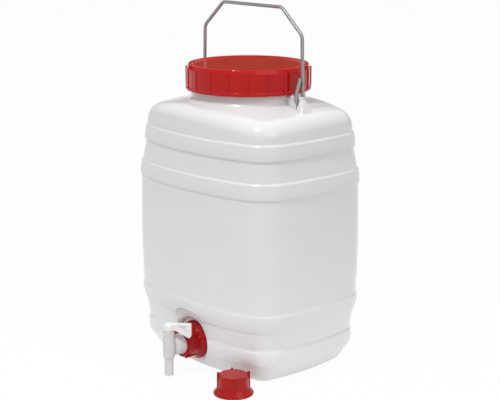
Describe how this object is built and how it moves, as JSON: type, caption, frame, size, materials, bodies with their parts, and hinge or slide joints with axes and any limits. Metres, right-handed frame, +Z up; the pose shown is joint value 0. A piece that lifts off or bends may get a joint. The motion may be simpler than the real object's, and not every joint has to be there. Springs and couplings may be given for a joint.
{
  "type": "fermentation barrel with tap",
  "caption": "Rectangular ribbed plastic barrel with a wide screw lid, a wire bail and a lever tap at its foot, for fermenting and drawing off drinks.",
  "frame": {"origin": "middle of the tank's base, on the surface that it stands on", "axes": "+Z up, -Y the way the tap points, X along the axis that the bail swings about"},
  "size_m": [0.2414, 0.2252, 0.413],
  "materials": {
    "tank_plastic": "natural-white polyethylene, satin and faintly translucent",
    "red_plastic": "glossy moulded red",
    "bright_wire": "bright plated steel wire",
    "tap_plastic": "greyish-white moulding, soft gloss",
    "lever_plastic": "white moulding, soft gloss",
    "seal_rubber": "matt dark rubber"
  },
  "bodies": {
    "tank": {"tank": "tank_plastic"},
    "lid_seal": {"lid_seal": "seal_rubber"},
    "lid": {"lid": "red_plastic"},
    "bail": {"bail": "bright_wire"},
    "tap": {"tap_body": "tap_plastic", "tap_washer": "seal_rubber"},
    "tap_nut": {"tap_nut": "red_plastic"},
    "tap_plug": {"tap_plug": "lever_plastic"},
    "closing_cap": {"closing_cap": "red_plastic", "closing_cap_seal": "seal_rubber"}
  },
  "joints": [
    {"name": "lid_lift", "type": "slide", "parent": "tank", "child": "lid_seal", "axis": [0, 0, 1], "range_m": [0, 0.03]},
    {"name": "lid_turn", "type": "hinge", "parent": "lid_seal", "child": "lid", "pos_m": [0, 0, 0.317], "axis": [0, 0, 1], "range_deg": [0, 900]},
    {"name": "bail_swing", "type": "hinge", "parent": "tank", "child": "bail", "pos_m": [0, 0, 0.3135], "axis": [1, 0, 0], "range_deg": [-90, 90]},
    {"name": "tap_out", "type": "slide", "parent": "tank", "child": "tap", "axis": [0, -1, 0], "range_m": [0, 0.018]},
    {"name": "nut_turn", "type": "hinge", "parent": "tap", "child": "tap_nut", "pos_m": [0, -0.081, 0.035], "axis": [0, -1, 0], "range_deg": [0, 1620]},
    {"name": "tap_turn", "type": "hinge", "parent": "tap", "child": "tap_plug", "pos_m": [0, -0.1213, 0.055], "axis": [0, 0, 1], "range_deg": [-260, 0]},
    {"name": "cap_lift", "type": "slide", "parent": "tank", "child": "closing_cap", "axis": [0, 0, 1], "range_m": [0, 0.05]}
  ],
  "couplings": [
    {"joint": "lid_lift", "follows": "lid_turn", "m_per_rad": 0.0019098},
    {"joint": "tap_out", "follows": "nut_turn", "m_per_rad": 0.0006366}
  ]
}
